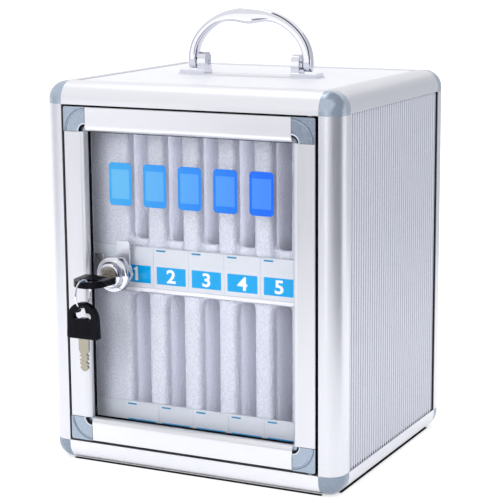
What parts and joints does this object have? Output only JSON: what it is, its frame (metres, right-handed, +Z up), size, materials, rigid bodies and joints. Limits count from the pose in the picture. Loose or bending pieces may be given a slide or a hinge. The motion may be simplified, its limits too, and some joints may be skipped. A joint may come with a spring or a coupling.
{
  "type": "cell phone locker box",
  "caption": "Portable phone locker: aluminium-edged case with a glazed lockable door, two tiers of foam slots with numbered cards, and a folding carry handle.",
  "frame": {"origin": "centre of the case's underside, on the surface that it stands on", "axes": "+X right, +Y from the door to the back, +Z up"},
  "size_m": [0.25, 0.2703, 0.355],
  "materials": {
    "frame_aluminium": "satin silver anodised",
    "panel_sheet": "embossed, satin blue-grey",
    "top_sheet": "smooth, satin white",
    "cap_plastic": "semi-gloss blue-grey",
    "foam": "expanded foam, speckled white",
    "shelf_sheet": "matt white",
    "label_plastic": "satin white",
    "card_print": "printed card, sky blue and white",
    "clear_pane": "clear, glossy",
    "black_rubber": "matt black",
    "pivot_steel": "zinc plated",
    "bush_plastic": "black nylon",
    "lock_chrome": "polished",
    "plug_brass": "nickelled, satin",
    "key_metal": "nickelled, satin",
    "key_plastic": "black, semi-gloss",
    "handle_chrome": "polished",
    "screw_steel": "zinc plated"
  },
  "bodies": {
    "case": {"front_left_post": "frame_aluminium", "front_right_post": "frame_aluminium", "rear_left_post": "frame_aluminium", "rear_right_post": "frame_aluminium", "front_top_rail": "frame_aluminium", "front_bottom_rail": "frame_aluminium", "rear_top_rail": "frame_aluminium", "rear_bottom_rail": "frame_aluminium", "left_top_rail": "frame_aluminium", "right_top_rail": "frame_aluminium", "left_bottom_rail": "frame_aluminium", "right_bottom_rail": "frame_aluminium", "top_corner_caps": "cap_plastic", "bottom_corner_caps": "cap_plastic", "left_side_panel": "panel_sheet", "right_side_panel": "panel_sheet", "top_panel": "top_sheet", "bottom_panel": "panel_sheet", "back_panel": "panel_sheet", "bottom_panel_screws": "screw_steel", "floor_foam_pad": "foam", "back_foam_pad": "foam", "lower_foam_dividers": "foam", "upper_foam_dividers": "foam", "shelf_board": "shelf_sheet", "lower_label_strip": "label_plastic", "upper_label_strip": "label_plastic", "lower_number_cards": "card_print", "upper_number_cards": "card_print", "pivot_pins": "pivot_steel", "strike_plate": "frame_aluminium", "strike_screws": "screw_steel", "handle_strip": "frame_aluminium", "left_handle_bracket": "handle_chrome", "right_handle_bracket": "handle_chrome", "handle_pins": "handle_chrome", "handle_screws": "screw_steel"},
    "door": {"door_left_stile": "frame_aluminium", "door_right_stile": "frame_aluminium", "door_top_rail": "frame_aluminium", "door_bottom_rail": "frame_aluminium", "door_corners": "cap_plastic", "door_pane": "clear_pane", "pane_gasket": "black_rubber", "pivot_bushes": "bush_plastic", "lock_washer": "black_rubber", "lock_housing": "lock_chrome", "lock_nut": "screw_steel"},
    "lock_core": {"lock_plug": "plug_brass", "lock_cam": "screw_steel", "cam_screw": "screw_steel"},
    "key": {"key_blade": "key_metal", "key_head": "key_plastic"},
    "ring": {"key_ring": "lock_chrome"},
    "spare_key": {"spare_key_blade": "key_metal", "spare_key_head": "key_plastic"},
    "handle": {"carry_handle": "handle_chrome"}
  },
  "joints": [
    {"name": "door_hinge", "type": "hinge", "parent": "case", "child": "door", "pos_m": [0.1, -0.1045, 0.151], "axis": [0, 0, 1], "range_deg": [0, 105]},
    {"name": "lock_turn", "type": "hinge", "parent": "door", "child": "lock_core", "pos_m": [-0.068, -0.1129, 0.154], "axis": [0, -1, 0], "range_deg": [0, 90]},
    {"name": "key_pull", "type": "slide", "parent": "lock_core", "child": "key", "axis": [0, -1, 0], "range_m": [0, 0.018]},
    {"name": "ring_swing", "type": "hinge", "parent": "key", "child": "ring", "pos_m": [-0.068, -0.1491, 0.154], "axis": [1, 0, 0], "range_deg": [-40, 2]},
    {"name": "spare_key_swing", "type": "hinge", "parent": "ring", "child": "spare_key", "pos_m": [-0.068, -0.1491, 0.1369], "axis": [0, 1, 0], "range_deg": [-30, 30]},
    {"name": "handle_fold", "type": "hinge", "parent": "case", "child": "handle", "pos_m": [0, 0, 0.3108], "axis": [1, 0, 0], "range_deg": [-90, 90]}
  ]
}
